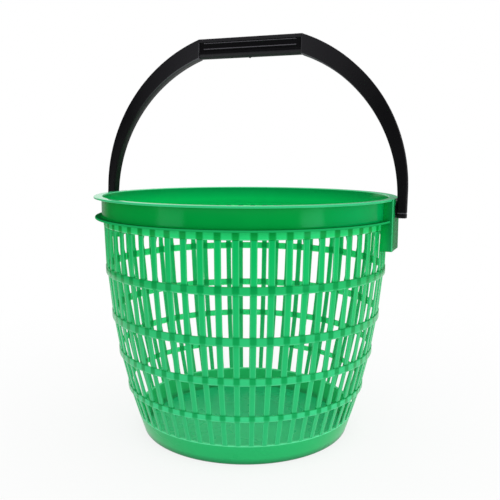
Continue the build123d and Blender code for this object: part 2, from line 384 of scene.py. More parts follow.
def end_tree(tree, geometry, material):
    """Ends a tree in real geometry with its material."""
    real = add_node(tree, "GeometryNodeRealizeInstances", {"Geometry": geometry})
    finished = add_node(tree, "GeometryNodeSetMaterial", {"Geometry": real, "Material": material})
    add_node(tree, "NodeGroupOutput", {"Geometry": finished})


def swept_ring_tree():
    """Sweeps a profile round a full ring, or round two arcs that leave a half gap by the X axis."""
    tree = bpy.data.node_groups.get("Swept ring")
    if tree:
        return tree
    tree = new_tree("Swept ring", {
        "Profile": "Object", "Radius": "Float", "Half gap": "Float", "Segments": "Int",
        "Material": "Material"})
    given = add_node(tree, "NodeGroupInput").outputs
    segments = given["Segments"]
    gap = given["Half gap"]
    profile = add_node(tree, "GeometryNodeObjectInfo", {"Object": given["Profile"]})
    ring = add_node(tree, "GeometryNodeCurvePrimitiveCircle", {
        "Resolution": segments, "Radius": given["Radius"]})
    half_count = add_node(tree, "ShaderNodeMath", {0: segments, 1: 2.0}, operation="DIVIDE")
    sweep = add_node(tree, "ShaderNodeMath", {0: gap, 1: -2.0, 2: pi}, operation="MULTIPLY_ADD")
    arc = add_node(tree, "GeometryNodeCurveArc", {
        "Resolution": half_count, "Radius": given["Radius"], "Start Angle": gap,
        "Sweep Angle": sweep}, mode="RADIUS")
    has_gap = add_node(tree, "ShaderNodeMath", {0: gap, 1: 0.0}, operation="GREATER_THAN")
    path = add_node(tree, "GeometryNodeSwitch", {
        "Switch": has_gap, "False": ring, "True": with_half_turn(tree, arc)}, input_type="GEOMETRY")
    swept = add_node(tree, "GeometryNodeCurveToMesh", {
        "Curve": path, "Profile Curve": profile.outputs["Geometry"], "Fill Caps": True})
    end_tree(tree, swept, given["Material"])
    return tree


def swept_ring(name, outline, half_gap, material, closed=True):
    """A ring swept from an outline of (radius, height) points."""
    radius = max(point[0] for point in outline)
    curve = bpy.data.curves.new(name + ".profile", "CURVE")
    curve.dimensions = "3D"
    spline = curve.splines.new("POLY")
    spline.points.add(len(outline) - 1)
    # A swept profile's X axis points out from the ring, and its Y axis points down.
    for point, (r, z) in zip(spline.points, outline):
        point.co = (r - radius, -z, 0, 1)
    spline.use_cyclic_u = closed
    profile = new_object(curve.name, curve)
    piece = run_tree(name, swept_ring_tree(), {
        "Profile": profile, "Radius": radius, "Half gap": half_gap, "Segments": RING_STEPS,
        "Material": material})
    bpy.data.objects.remove(profile)
    bpy.data.curves.remove(curve)
    return piece


def rib_ring_tree():
    """Sets a row of ribs across the front, with one more on the X axis, and the same behind."""
    tree = bpy.data.node_groups.get("Rib ring")
    if tree:
        return tree
    tree = new_tree("Rib ring", {
        "Rib": "Object", "Ribs per face": "Int", "Pitch": "Float", "Material": "Material"})
    given = add_node(tree, "NodeGroupInput").outputs
    row = given["Ribs per face"]
    count = add_node(tree, "ShaderNodeMath", {0: row, 1: 1.0}, operation="ADD")
    points = add_node(tree, "GeometryNodePoints", {"Count": count})
    index = add_node(tree, "GeometryNodeInputIndex")
    middle = add_node(tree, "ShaderNodeMath", {0: row, 1: 0.5, 2: -0.5}, operation="MULTIPLY_ADD")
    place = add_node(tree, "ShaderNodeMath", {0: index, 1: middle}, operation="SUBTRACT")
    heading = add_node(tree, "ShaderNodeMath", {0: place, 1: given["Pitch"], 2: -pi / 2},
                       operation="MULTIPLY_ADD")
    # The rib after the last one of the row stands on the X axis, under a socket.
    held = add_node(tree, "ShaderNodeMath", {0: heading, 1: 0.0}, operation="MINIMUM")
    turn = add_node(tree, "ShaderNodeCombineXYZ", {"Z": held})
    rotation = add_node(tree, "FunctionNodeEulerToRotation", {"Euler": turn})
    rib = add_node(tree, "GeometryNodeObjectInfo", {"Object": given["Rib"]})
    front = add_node(tree, "GeometryNodeInstanceOnPoints", {
        "Points": points, "Instance": rib.outputs["Geometry"], "Rotation": rotation})
    end_tree(tree, with_half_turn(tree, front), given["Material"])
    return tree


def plastic(name, roughness, gloss, bump):
    """A new material with the moulded skin of both plastics, its coordinates and dulled patches."""
    material = bpy.data.materials.new(name)
    material.use_nodes = True
    tree = material.node_tree
    skin = tree.nodes["Principled BSDF"].inputs
    skin["IOR"].default_value = PLASTIC_IOR
    skin["Specular IOR Level"].default_value = gloss
    place = add_node(tree, "ShaderNodeTexCoord").outputs["Object"]
    # Orange peel of a moulded skin.
    peel = add_node(tree, "ShaderNodeTexNoise", {
        "Vector": place, "Scale": 1 / PEEL_WIDTH, "Detail": 1.0})
    relief = add_node(tree, "ShaderNodeBump", {
        "Height": peel, "Strength": bump, "Distance": PEEL_HEIGHT})
    tree.links.new(relief.outputs[0], skin["Normal"])
    patch = add_node(tree, "ShaderNodeTexNoise", {
        "Vector": place, "Scale": 1 / PATCH_WIDTH, "Detail": 2.0})
    dulled = add_node(tree, "ShaderNodeMapRange", {
        "Value": patch, "To Min": roughness - DULLING, "To Max": roughness + DULLING})
    tree.links.new(dulled.outputs[0], skin["Roughness"])
    return material, place, patch


def off_axis(tree, place, operation):
    """How far a place is from the basket's axis, by LENGTH, or which way it lies, by NORMALIZE."""
    flat = add_node(tree, "ShaderNodeVectorMath", {0: place, 1: (1, 1, 0)}, operation="MULTIPLY")
    return add_node(tree, "ShaderNodeVectorMath", {0: flat}, operation=operation)


def layered(tree, tone, *layers):
    """Lays tones over a first one, in order. Each layer is a mask and a tone."""
    for mask, over in layers:
        tone = add_node(tree, "ShaderNodeMix", {"Factor": mask, "A": tone, "B": over},
                        data_type="RGBA")
    return tone


def set_stops(node, stops):
    """Gives a node's colour ramp these (place, colour) stops."""
    elements = node.color_ramp.elements
    elements.remove(elements[-1])
    elements[0].position, elements[0].color = stops[0]
    for place, tone in stops[1:]:
        elements.new(place).color = tone
    return node


def green(material, tone, place, patch, glow=1.0):
    """Joins a green tone to a material, clouded by its pigment, with painted light on inner faces."""
    tree = material.node_tree
    skin = tree.nodes["Principled BSDF"].inputs
    skin["Specular Tint"].default_value = linear(SHEEN)
    normal = add_node(tree, "ShaderNodeTexCoord").outputs["Normal"]
    outward = off_axis(tree, place, "NORMALIZE")
    facing = add_node(tree, "ShaderNodeVectorMath", {0: normal, 1: outward},
                      operation="DOT_PRODUCT")
    lit = add_node(tree, "ShaderNodeMapRange", {
        "Value": facing, "From Min": -0.2, "From Max": -0.8, "To Min": 1.0, "To Max": glow})
    cloud = add_node(tree, "ShaderNodeMapRange", {
        "Value": patch, "To Min": 1 - CLOUDING, "To Max": 1 + CLOUDING})
    value = add_node(tree, "ShaderNodeMath", {0: lit, 1: cloud}, operation="MULTIPLY")
    clouded = add_node(tree, "ShaderNodeHueSaturation", {"Value": value, "Color": tone})
    tree.links.new(clouded.outputs[0], skin["Base Color"])


def rib_pitch(sizes):
    """Angle from rib to rib across the front and the back."""
    return (pi - 2 * sizes.side_bay) / (sizes.ribs_per_face - 1)


def wall_plastic(scene, part, glow):
    """Green moulded polypropylene of the openwork wall.

    It is cloudy, and the light that comes through it is painted: thin hoops look palest, ribs darker,
    and the doubled plastic where they cross looks darkest, with straight edges. Moulded edges have
    painted highlights as pale lines.
    """
    name = f"Moulded polypropylene, green {part}"
    if name in bpy.data.materials:
        return bpy.data.materials[name]
    sizes = scene.basket_sizes
    colours = scene.basket_colours
    material, place, patch = plastic(name, roughness=0.25, gloss=0.25, bump=0.25)
    tree = material.node_tree
    # Angles from the Y axis, counted in ribs. A rib stands at each whole number, and by the X axis.
    pitch = rib_pitch(sizes)
    folded = add_node(tree, "ShaderNodeVectorMath", {0: place}, operation="ABSOLUTE")
    across, deep, level = add_node(tree, "ShaderNodeSeparateXYZ", {"Vector": folded}).outputs
    turn = add_node(tree, "ShaderNodeMath", {0: across, 1: deep}, operation="ARCTAN2")
    turns = add_node(tree, "ShaderNodeMath", {0: turn, 1: pitch}, operation="DIVIDE")
    off_row = add_node(tree, "ShaderNodeMath", {0: turns, 1: 0.5}, operation="PINGPONG")
    off_side = add_node(tree, "ShaderNodeMath", {0: pi / 2 / pitch, 1: turns}, operation="SUBTRACT")
    off_rib = add_node(tree, "ShaderNodeMath", {0: off_row, 1: off_side}, operation="MINIMUM")
    # A rib's tone ends softly at its side, with a painted highlight just inside it, in parts of the pitch.
    half = sizes.rib_share / 2
    on_rib = add_node(tree, "ShaderNodeMapRange", {
        "Value": off_rib, "From Min": half - 0.05, "From Max": half + 0.05,
        "To Min": 1.0, "To Max": 0.0})
    rib_highlight = add_node(tree, "ShaderNodeMapRange", {
        "Value": off_rib, "From Min": half - 0.08, "From Max": half - 0.04, "To Max": 0.3})
    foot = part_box("base_wall")[1][2]
    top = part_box("lower_flange")[0][2]
    height = add_node(tree, "ShaderNodeMapRange", {
        "Value": level, "From Min": foot, "From Max": top})

    def by_height(stops):
        """A colour that runs through these stops from the foot of the wall to its top."""
        return set_stops(add_node(tree, "ShaderNodeValToRGB", {"Fac": height}), stops)

    def banded(bands):
        """White in these (foot, top, softness) bands of height, and black between them."""
        stops = [(0, (0, 0, 0, 1))]
        for low, high, soft in bands:
            for z, shade in ((low - soft, 0), (low + soft, 1), (high - soft, 1), (high + soft, 0)):
                stops.append((min((z - foot) / (top - foot), 1), (shade, shade, shade, 1)))
        return by_height(stops)

    # Bands from the lowest hoop up. A rib is thick where it steps back over a hoop, so the painted shade of
    # the doubled plastic reaches above each hoop, but not above the top one.
    crisp = 0.25 * MM
    hoops = [ring_of(node)[:2] for node in reversed(HOOP_NODES)]
    on_hoop = banded([(*hoop, crisp) for hoop in hoops])
    dark = [(low + 1.5 * MM, high + 1.0 * MM, 0.8 * MM) for low, high in hoops[:-1]]
    doubled = banded(dark + [(*hoops[-1], crisp)])
    # Painted highlight along each hoop's lower edge.
    hoop_edge = banded([(low - 0.4 * MM, low + 0.8 * MM, 0.35 * MM) for low, _ in hoops])
    upper = (ring_of("hoop_2")[1] - foot) / (top - foot)
    # The top hoop is painted brighter, as painted light coming through under the rim's shade.
    strip = by_height([
        (0, colours.strip_low), (upper, colours.strip_high), (1, colours.strip_top_lit)])
    rib = by_height([
        (0, colours.rib_low), (0.42, colours.rib_middle), (0.88, colours.rib_high)])
    thick = by_height([
        (0, colours.crossing_low), (upper, colours.crossing_high), (0.95, colours.crossing_top)])
    crossing = layered(tree, rib, (rib_highlight, colours.edge), (doubled, thick))
    hoop = layered(tree, strip, (hoop_edge, colours.edge), (on_rib, crossing))
    green(material, layered(tree, crossing, (on_hoop, hoop)), place, patch, glow)
    return material


def rim_plastic(colours, part, gloss):
    """Green moulded polypropylene of the rim.

    The collar looks deep green outside and brighter inside, where light comes through it below the
    flange; that light is painted, with painted shade behind the top flange. The top flange's lip has a
    painted highlight, and the lower flange has painted shade from the top one inside its lip.
    """
    name = f"Moulded polypropylene, green {part}"
    if name in bpy.data.materials:
        return bpy.data.materials[name]
    material, place, patch = plastic(name, roughness=0.14, gloss=gloss, bump=0.15)
    tree = material.node_tree
    radius = off_axis(tree, place, "LENGTH")
    across, _, level = add_node(tree, "ShaderNodeSeparateXYZ", {"Vector": place}).outputs
    foot, top, collar = ring_of("collar")
    _, brim, reach = ring_of("top_flange")
    _, _, ledge = ring_of("lower_flange")
    height = add_node(tree, "ShaderNodeMapRange", {
        "Value": level, "From Min": foot, "From Max": top})
    # Painted light: the collar is paler on the right, as if lit from that side.
    lit_right = add_node(tree, "ShaderNodeMapRange", {
        "Value": across, "From Min": 105 * MM, "From Max": 140 * MM})
    # Painted light through the collar's inner side, with painted shade behind the top flange.
    inside = set_stops(add_node(tree, "ShaderNodeValToRGB", {"Fac": height}), [
        (0.3, colours.inside), (0.9, colours.inside_top_shade)])
    through = add_node(tree, "ShaderNodeMapRange", {
        "Value": radius, "From Min": collar - 0.4 * MM, "From Max": collar - 1.2 * MM})
    lower_edge = add_node(tree, "ShaderNodeMapRange", {
        "Value": radius, "From Min": ledge - 1.2 * MM, "From Max": ledge - 0.5 * MM})
    upper_edge = add_node(tree, "ShaderNodeMapRange", {
        "Value": radius, "From Min": reach - 0.3 * MM, "From Max": reach})
    on_flange = add_node(tree, "ShaderNodeMapRange", {
        "Value": radius, "From Min": collar + 0.3 * MM, "From Max": collar + 2 * MM})
    on_top = add_node(tree, "ShaderNodeMapRange", {
        "Value": level, "From Min": brim - 1.0 * MM, "From Max": brim - 0.3 * MM})
    is_upper = add_node(tree, "ShaderNodeMath", {0: height, 1: 0.5}, operation="GREATER_THAN")
    lower = layered(tree, colours.ledge_top, (lower_edge, colours.ledge))
    upper = layered(tree, colours.lip, (upper_edge, colours.lip_edge))
    lips = layered(tree, lower, (is_upper, upper))
    band = layered(tree, colours.collar, (lit_right, colours.collar_lit_side), (through, inside))
    green(material, layered(tree, band, (on_flange, lips), (on_top, upper)), place, patch)
    return material


def socket_plastic(colours):
    """Green moulded polypropylene of the sockets: bright at the collar, deep green where thick, with painted
    highlights on the upright corners.
    """
    name = "Moulded polypropylene, green sockets"
    if name in bpy.data.materials:
        return bpy.data.materials[name]
    material, place, patch = plastic(name, roughness=0.2, gloss=0.25, bump=0.2)
    tree = material.node_tree
    folded = add_node(tree, "ShaderNodeVectorMath", {0: place}, operation="ABSOLUTE")
    reach, across, _ = add_node(tree, "ShaderNodeSeparateXYZ", {"Vector": folded}).outputs
    _, _, collar = ring_of("collar")
    thick = add_node(tree, "ShaderNodeMapRange", {
        "Value": reach, "From Min": collar + 1 * MM, "From Max": collar + 6 * MM})
    # Painted highlight on the upright corners between the cheeks and the face.
    face, cheek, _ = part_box("socket_right")[1]
    near_face = add_node(tree, "ShaderNodeMapRange", {
        "Value": reach, "From Min": face - 1.2 * MM, "From Max": face - 0.6 * MM})
    near_cheek = add_node(tree, "ShaderNodeMapRange", {
        "Value": across, "From Min": cheek - 1.2 * MM, "From Max": cheek - 0.6 * MM, "To Max": 0.6})
    corner = add_node(tree, "ShaderNodeMath", {0: near_face, 1: near_cheek}, operation="MULTIPLY")
    tone = layered(tree, colours.socket_root, (thick, colours.socket), (corner, colours.lip))
    green(material, tone, place, patch)
    return material


def base_plastic(colours):
    """Green moulded polypropylene of the base pan.

    The band has a painted highlight on its sill and painted shade towards the ground. The floor is
    painted paler towards the front, as painted light falling in.
    """
    name = "Moulded polypropylene, green base"
    if name in bpy.data.materials:
        return bpy.data.materials[name]
    material, place, patch = plastic(name, roughness=0.28, gloss=0.2, bump=0.25)
    tree = material.node_tree
    radius = off_axis(tree, place, "LENGTH")
    _, deep, level = add_node(tree, "ShaderNodeSeparateXYZ", {"Vector": place}).outputs
    _, top, _ = ring_of("base_wall")
    _, _, floor = ring_of("floor")
    height = add_node(tree, "ShaderNodeMapRange", {"Value": level, "From Max": top})
    # Painted shade towards the ground, and a painted highlight on the sill.
    wall = set_stops(add_node(tree, "ShaderNodeValToRGB", {"Fac": height}), [
        (0.04, colours.base_foot_shade), (0.34, colours.base), (0.94, colours.base),
        (0.97, colours.edge)])
    on_wall = add_node(tree, "ShaderNodeMapRange", {
        "Value": radius, "From Min": floor, "From Max": floor + 4 * MM})
    # Painted light: the floor is paler towards the front.
    back = add_node(tree, "ShaderNodeMapRange", {
        "Value": deep, "From Min": -20 * MM, "From Max": 20 * MM})
    tone = layered(tree, colours.floor_lit_front, (back, colours.floor), (on_wall, wall))
    green(material, tone, place, patch, colours.rib_glow)
    return material


def handle_plastic(colours):
    """Black moulded polypropylene of the handle: satin, with painted grey highlights along raised edges."""
    name = "Moulded polypropylene, black handle"
    if name in bpy.data.materials:
        return bpy.data.materials[name]
    material, _, patch = plastic(name, roughness=0.35, gloss=0.16, bump=0.35)
    tree = material.node_tree
    dark, pale = [[c * share for c in colours.handle] for share in (1 - MOTTLE, 1 + MOTTLE)]
    glint_mask = add_node(tree, "ShaderNodeAttribute", attribute_name="rubbed").outputs["Fac"]
    tone = layered(tree, dark, (patch, pale), (glint_mask, colours.rubbed))
    tree.links.new(tone.outputs[2], tree.nodes["Principled BSDF"].inputs["Base Color"])
    return material


def rib_levels(sizes):
    """(height, inner radius, outer radius) levels down a rib, which steps back behind each hoop."""
    hoops = [ring_of(node) for node in HOOP_NODES]
    _, base_top, base_radius = ring_of("base_wall")
    wall = sizes.rib_wall
    foot, top, radius = hoops[0]
    back = radius - sizes.hoop_wall
    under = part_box(RIB_NODES[0])[1][1]
    levels = [
        (top, back - wall, back + RIB_SUNK),
        (foot, back - wall, back + RIB_SUNK),
        (foot, back - wall, under),
        (foot - sizes.rib_jog, under - wall, under - sizes.rib_draw),
    ]
    start = (foot, under)
    for foot, top, radius in hoops[1:]:
        back = radius - sizes.hoop_wall
        over = radius - sizes.rib_step
        slope = (start[1] - over) / (start[0] - top)
        levels += [
            (top + sizes.rib_jog, over - wall, over + slope * sizes.rib_jog),
            (top, back - wall, over),
            (top, back - wall, back + RIB_SUNK),
            (foot, back - wall, back + RIB_SUNK),
            (foot, back - wall, back),
        ]
        start = (foot, back)
    return levels + [(base_top, base_radius - wall, base_radius)]


def rib_object(name, levels, sizes):
    """One rib along the X axis, with rounded edges."""
    slope = tan(rib_pitch(sizes) * sizes.rib_share / 2)
    bm = bmesh.new()
    rings = []
    for z, inner, outer in levels:
        # A thin rib has room for less rounding.
        edge = min(sizes.edge, (outer - inner) * 0.4)
        corners = [(outer, -outer * slope, edge), (outer, outer * slope, edge),
                   (inner, inner * slope, edge), (inner, -inner * slope, edge)]
        rings.append([bm.verts.new((x, y, z)) for x, y in rounded(corners, steps=2)])
    loft(bm, rings)
    return new_object(name, mesh_from(bm, name))


class BASKET_OT_rim(bpy.types.Operator):
    """Sweeps the collar with its top flange, and the lower flange from socket to socket"""

    bl_idname = "basket.add_rim"
    bl_label = "Rim"

    def execute(self, context):
        sizes = context.scene.basket_sizes
        colours = context.scene.basket_colours
        edge = sizes.edge
        _, top, reach = ring_of("top_flange")
        _, _, collar = ring_of("collar")
        under, foot, ledge = ring_of("lower_flange")
        inside = collar - sizes.collar_wall
        step = ring_of("hoop_1")[2] - sizes.hoop_wall - sizes.rib_wall
        outline = rounded([
            (reach, top, edge),
            (reach, top - sizes.rim_flange, edge),
            (collar, top - sizes.rim_flange, edge),
            (collar, under, 0),
            (step, under, 0),
            (step, foot, edge),
            (inside, foot, edge),
            (inside, top, sizes.rim_corner),
        ])
        glossy = rim_plastic(colours, "rim", gloss=0.25)
        piece = swept_ring("rim_moulding", outline, 0.0, glossy)
        settled(piece, "basket", ["top_flange", "collar"])
        root = collar - sizes.collar_wall / 2
        outline = rounded([
            (ledge, foot, edge), (ledge, under, edge), (root, under, 0), (root, foot, 0)])
        # The ends of the sweep stop inside the sockets' cheeks.
        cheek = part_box("socket_right")[1][1] - sizes.ledge_end
        # Dust dulls the lower flange.
        dull = rim_plastic(colours, "lower flange", gloss=0.0)
        piece = swept_ring("rim_ledge", outline, atan2(cheek, collar), dull)
        settled(piece, "basket", ["lower_flange"])
        return {"FINISHED"}


class BASKET_OT_hoops(bpy.types.Operator):
    """Sweeps the five hoops"""

    bl_idname = "basket.add_hoops"
    bl_label = "Hoops"

    def execute(self, context):
        sizes = context.scene.basket_sizes
        material = wall_plastic(context.scene, "hoops", context.scene.basket_colours.hoop_glow)
        soft = sizes.edge / 2
        for number, node in enumerate(HOOP_NODES, 1):
            foot, top, radius = ring_of(node)
            back = radius - sizes.hoop_wall
            outline = rounded([
                (radius, foot, sizes.hoop_edge), (radius, top, sizes.edge),
                (back, top, soft), (back, foot, soft)])
            piece = swept_ring(f"hoop_moulding_{number}", outline, 0.0, material)
            settled(piece, "basket", [node])
        return {"FINISHED"}


class BASKET_OT_ribs(bpy.types.Operator):
    """Sets the upright ribs round the wall"""

    bl_idname = "basket.add_ribs"
    bl_label = "Ribs"

    def execute(self, context):
        sizes = context.scene.basket_sizes
        sample = rib_object("rib", rib_levels(sizes), sizes)
        material = wall_plastic(context.scene, "ribs", context.scene.basket_colours.rib_glow)
        piece = run_tree("wall_ribs", rib_ring_tree(), {
            "Rib": sample, "Ribs per face": sizes.ribs_per_face, "Pitch": rib_pitch(sizes),
            "Material": material})
        bpy.data.meshes.remove(sample.data)
        settled(piece, "basket", RIB_NODES, crease=50)
        return {"FINISHED"}


class BASKET_OT_base(bpy.types.Operator):
    """Turns the base band, its rounded foot and the floor as one pan"""

    bl_idname = "basket.add_base"
    bl_label = "Base pan"

    def execute(self, context):
        sizes = context.scene.basket_sizes
        floor_top, top, radius = ring_of("base_wall")
        _, _, floor = ring_of("floor")
        foot = radius - sizes.base_draw
        taper = sizes.base_draw / top
        underside = floor_top - sizes.floor_wall
        outline = rounded([
            (0, underside, 0),
            (floor, underside, sizes.foot_corner),
            (floor, 0, sizes.edge),
            (foot, 0, sizes.base_corner),
            (radius, top, sizes.edge),
            (radius - sizes.base_wall, top, sizes.edge),
            (foot - sizes.base_wall + taper * floor_top, floor_top, sizes.floor_corner),
            (0, floor_top, 0),
        ], steps=5)
        material = base_plastic(context.scene.basket_colours)
        piece = swept_ring("base_pan", outline, 0.0, material, closed=False)
        settled(piece, "basket", ["base_wall", "foot_ring", "floor"])
        return {"FINISHED"}


class BASKET_OT_sockets(bpy.types.Operator):
    """Rounds the edges of the two handle sockets"""

    bl_idname = "basket.add_sockets"
    bl_label = "Handle sockets"

    def execute(self, context):
        sizes = context.scene.basket_sizes
        material = socket_plastic(context.scene.basket_colours)
        for side in ("left", "right"):
            node = f"socket_{side}"
            bm = bmesh.new()
            bm.from_mesh(frame["nodes"][node].data)
            bmesh.ops.remove_doubles(bm, verts=bm.verts, dist=WELD)
            bmesh.ops.dissolve_limit(bm, angle_limit=FLAT_TURN, verts=bm.verts, edges=bm.edges)
            piece = new_object(f"socket_moulding_{side}", mesh_from(bm, node))
            bevel = piece.modifiers.new("Rounded edges", "BEVEL")
            bevel.width = sizes.edge
            bevel.segments = 3
            bevel.limit_method = "ANGLE"
            bevel.angle_limit = EDGE_TURN
            made_plain(piece)
            settled(piece, "basket", [node], material)
        return {"FINISHED"}


def pivot():
    """Place of the handle's joint."""
    return Vector(frame["joints"][0]["pos_m"])


def leant(mesh):
    """Leans a mesh of the upright handle back about its pivots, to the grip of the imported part."""
    hang = next(m for m in frame["record"]["mounts"] if m["name"] == "grip_hang")
    reach = Vector(hang["pos_m"]) - pivot()
    lean = Matrix.Rotation(-atan2(reach.y, reach.z), 4, "X")
    mesh.transform(Matrix.Translation(pivot()) @ lean)
    return mesh


def arc_path(start, spring, end, count):
    """Points evenly along a straight run up from start to spring and a tangent arc on to end."""
    run = spring[1] - start[1]
    radius = ((spring[0] - end[0]) ** 2 + (end[1] - spring[1]) ** 2) / (2 * (spring[0] - end[0]))
    turn = atan2(end[1] - spring[1], end[0] - spring[0] + radius)
    whole = run + radius * turn
    points = []
    for i in range(count + 1):
        along = whole * i / count
        beyond = max(along - run, 0) / radius
        points.append(Vector((spring[0] - radius + radius * cos(beyond),
                              start[1] + min(along, run) + radius * sin(beyond))))
    return points


def arm_stations(sizes):
    """Stations up an arm: inner and outer point, inset, painted highlight on the front inner edge, other painted
    highlight.
    """
    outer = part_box("arm_right")[1][0]
    inner = outer - sizes.arm_thickness
    grip_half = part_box("grip")[1][0]
    foot = -sizes.arm_foot
    waist = -sizes.groove_top
    groove_foot = waist - sizes.groove_height
    stations = []
    for height, inset, glint in (
            (foot, sizes.foot_edge, 0),
            (foot + sizes.foot_turn, sizes.foot_turn, 0),
            (foot + sizes.foot_edge, 0, 0),
            (groove_foot, 0, 0),
            (groove_foot + sizes.groove_slope, sizes.groove, GROOVE_GLINT),
            (waist - sizes.groove_slope, sizes.groove, GROOVE_GLINT)):
        stations.append((Vector((inner, height)), Vector((outer, height)), inset, 0, glint))
    low = sizes.grip_underside
    high = low + sizes.grip_height
    insides = arc_path((inner, waist), (inner, sizes.inner_spring), (grip_half, low), ARM_STEPS)
    outsides = arc_path((outer, waist), (outer, sizes.outer_spring), (grip_half, high), ARM_STEPS)
    # Painted sheen greys the upper half of an arm a little, more and more towards the grip.
    for i, (near, far) in enumerate(zip(insides, outsides)):
        near_grip = max(2 * i / ARM_STEPS - 1, 0)
        stations.append((near, far, 0, near_grip, HAND_SHEEN * near_grip))
    join = [points[-1].lerp(points[-2], JOIN_PART) for points in (insides, outsides)]
    stations[-1:] = [(*join, 0, 1, HAND_SHEEN), (insides[-1], outsides[-1], 0, 1, JOIN_GLINT)]
    return stations


def arm_mesh(name, sizes, side):
    """One arm of the upright handle: a straight foot with a groove, springing into two arcs."""
    bm = bmesh.new()
    rubbed = bm.verts.layers.float.new("rubbed")
    rings = []
    for near, far, inset, edge_glint, glint in arm_stations(sizes):
        across = (far - near).normalized()
        wide = (far - near).length - inset
        half = sizes.arm_depth / 2 - inset
        sides = ((inset, -half), (wide, -half), (wide, half), (inset, half))
        ring = []
        for i, (s, y) in enumerate(rounded([(*corner, sizes.arm_edge) for corner in sides])):
            spot = near + across * s
            vert = bm.verts.new((side * spot.x, y, spot.y))
            # The second and third points are the middle of the front inner edge, which has a painted highlight.
            vert[rubbed] = max(glint, edge_glint * (i in (1, 2)))
            ring.append(vert)
        rings.append(ring)
    loft(bm, rings)
    return leant(mesh_from(bm, name))


class BASKET_OT_arms(bpy.types.Operator):
    """Lofts the two arms of the handle from their feet to the grip"""

    bl_idname = "basket.add_arms"
    bl_label = "Handle arms"

    def execute(self, context):
        sizes = context.scene.handle_sizes
        material = handle_plastic(context.scene.basket_colours)
        for side, sign in (("left", -1), ("right", 1)):
            name = f"handle_arm_{side}"
            piece = new_object(name, arm_mesh(name, sizes, sign))
            settled(piece, "handle", [f"arm_{side}"], material)
        return {"FINISHED"}


def grip_outline(sizes):
    """Section of the grip as (y, height) points: a bead, a thinner web and a cap over it."""
    bead = sizes.grip_bead / 2
    web = sizes.grip_web / 2
    cap = sizes.arm_depth / 2
    cap_foot = sizes.grip_height - sizes.grip_cap
    meet = atan2((bead ** 2 - web ** 2) ** 0.5, web)
    turns = [-pi / 2 + (pi / 2 + meet) * step / BEAD_STEPS for step in range(BEAD_STEPS + 1)]
    right = [(bead * cos(turn), bead + bead * sin(turn), 0) for turn in turns]
    right += [(web, cap_foot, sizes.grip_corner), (cap, cap_foot, sizes.grip_corner),
              (cap, sizes.grip_height, sizes.arm_edge)]
    left = [(-y, height, radius) for y, height, radius in reversed(right[1:])]
    return rounded(right + left)


def bar(bm, outline, half_length, glint):
    """Adds a bar along X with a (y, height) outline. Glint tells how much painted highlight it has at a height."""
    rubbed = bm.verts.layers.float.get("rubbed") or bm.verts.layers.float.new("rubbed")
    rings = []
    for x in (-half_length, half_length):
        ring = [bm.verts.new((x, y, height)) for y, height in outline]
        for vert in ring:
            vert[rubbed] = glint(vert.co.z)
        rings.append(ring)
    loft(bm, rings)


class BASKET_OT_grip(bpy.types.Operator):
    """Draws the grip out along its length, and lays two ridges along each side"""

    bl_idname = "basket.add_grip"
    bl_label = "Handle grip"

    def execute(self, context):
        sizes = context.scene.handle_sizes
        half_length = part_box("grip")[1][0]
        bm = bmesh.new()
        # Painted sheen greys the round of the bead and the sides of the cap; the web, in shade, stays black.
        bead_middle = sizes.grip_bead / 2
        cap_side = sizes.grip_height - sizes.grip_cap + 0.1 * MM
        bar(bm, grip_outline(sizes), half_length + GRIP_SUNK,
            lambda height: HAND_SHEEN * (height < bead_middle or height > cap_side))
        proud = sizes.grip_web / 2 + sizes.ridge_proud
        for middle in (sizes.lower_ridge, sizes.upper_ridge):
            low = middle - sizes.ridge_width / 2
            high = middle + sizes.ridge_width / 2
            sides = ((-proud, low), (proud, low), (proud, high), (-proud, high))
            outline = rounded([(*corner, sizes.ridge_edge) for corner in sides])
            # Only the upper half of a ridge has the painted highlight.
            bar(bm, outline, half_length - sizes.ridge_gap, lambda height: float(height > middle))
        # The stub where the melt entered the mould, in the middle of the underside.
        gate = bmesh.ops.create_cone(
            bm, cap_ends=True, segments=20, radius1=sizes.gate_tip, radius2=sizes.gate_root,
            depth=sizes.gate_height)
        bmesh.ops.translate(bm, verts=gate["verts"], vec=(0, 0, sizes.gate_lift))
        bmesh.ops.translate(bm, verts=bm.verts, vec=(0, 0, sizes.grip_underside))
        piece = new_object("handle_grip", leant(mesh_from(bm, "handle_grip")))
        material = handle_plastic(context.scene.basket_colours)
        settled(piece, "handle", ["grip"], material)
        return {"FINISHED"}


class BASKET_OT_studs(bpy.types.Operator):
    """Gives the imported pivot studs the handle's plastic"""

    bl_idname = "basket.finish_studs"
    bl_label = "Pivot studs"

    def execute(self, context):
        material = handle_plastic(context.scene.basket_colours)
        for side in ("left", "right"):
            mesh = frame["nodes"][f"pivot_stud_{side}"].data
            mesh.materials.clear()
            mesh.materials.append(material)
        return {"FINISHED"}


def seen_direct(tree):
    """Two masks: rays that show the background, by gloss or glass too, and camera rays alone."""
    path = add_node(tree, "ShaderNodeLightPath").outputs
    camera = path["Is Camera Ray"]
    first = add_node(tree, "ShaderNodeMath", {0: camera, 1: path["Is Glossy Ray"]},
                     operation="MAXIMUM")
    seen = add_node(tree, "ShaderNodeMath", {0: first, 1: path["Is Transmission Ray"]},
                    operation="MAXIMUM")
    return seen, camera


